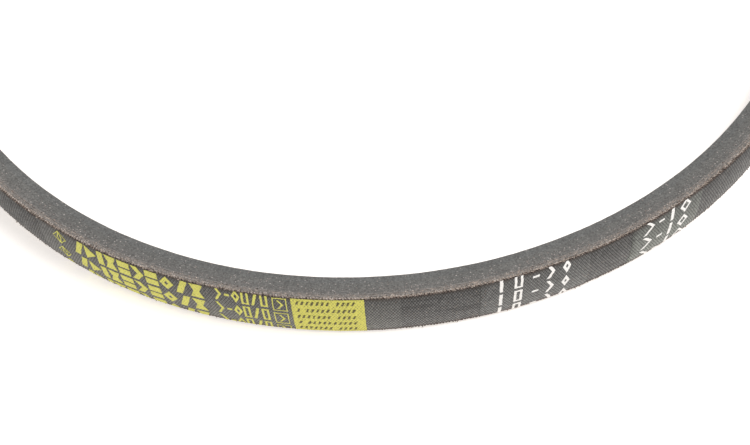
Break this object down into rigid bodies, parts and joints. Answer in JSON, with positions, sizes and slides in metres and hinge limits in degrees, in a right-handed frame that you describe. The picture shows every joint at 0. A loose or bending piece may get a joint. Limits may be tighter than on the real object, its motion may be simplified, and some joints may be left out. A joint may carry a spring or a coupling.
{
  "type": "v-belt",
  "caption": "Closed-loop raw-edge V-belt with a trapezoid section, tapered rubber flanks, a fabric back with printed marks and a tensile cord inside.",
  "frame": {"origin": "centre of the loop, at the middle of the belt's width", "axes": "+Z along the loop's axis, which is the pulleys' axis; the print is on the back at the -Y side, and +X is to the right of it"},
  "size_m": [0.3154, 0.3154, 0.0168],
  "materials": {
    "back_fabric": "bias-cut weave filled with grey-black rubber, matte",
    "inner_fabric": "brown cut yarn ends, rubber filled, matte",
    "cushion_rubber": "raw cut, matte",
    "cord": "twisted polyester cord",
    "compression_rubber": "ground flank with short pale fibre ends, matte",
    "base_fabric": "rubber-filled weave, matte",
    "label_film": "thin grey-green carrier film moulded into the back, slight sheen",
    "yellow_ink": "printed on fabric, worn thin on the yarn crests",
    "dark_ink": "printed over the yellow",
    "white_ink": "printed on fabric"
  },
  "bodies": {
    "root": {"back_fabric_outer_ply": "back_fabric", "back_fabric_inner_ply": "inner_fabric", "upper_cushion_rubber": "cushion_rubber", "tensile_cord": "cord", "lower_cushion_rubber": "cushion_rubber", "compression_sheet_outer": "compression_rubber", "compression_sheet_middle": "compression_rubber", "compression_sheet_inner": "compression_rubber", "base_fabric_ply": "base_fabric", "main_label_film": "label_film", "size_label_film": "label_film", "batch_label_film": "label_film", "bold_marks": "yellow_ink", "emblem": "yellow_ink", "light_marks": "yellow_ink", "boxed_mark": "yellow_ink", "yellow_panel": "yellow_ink", "panel_marks": "dark_ink", "size_marks": "white_ink", "batch_marks": "white_ink"}
  },
  "joints": []
}
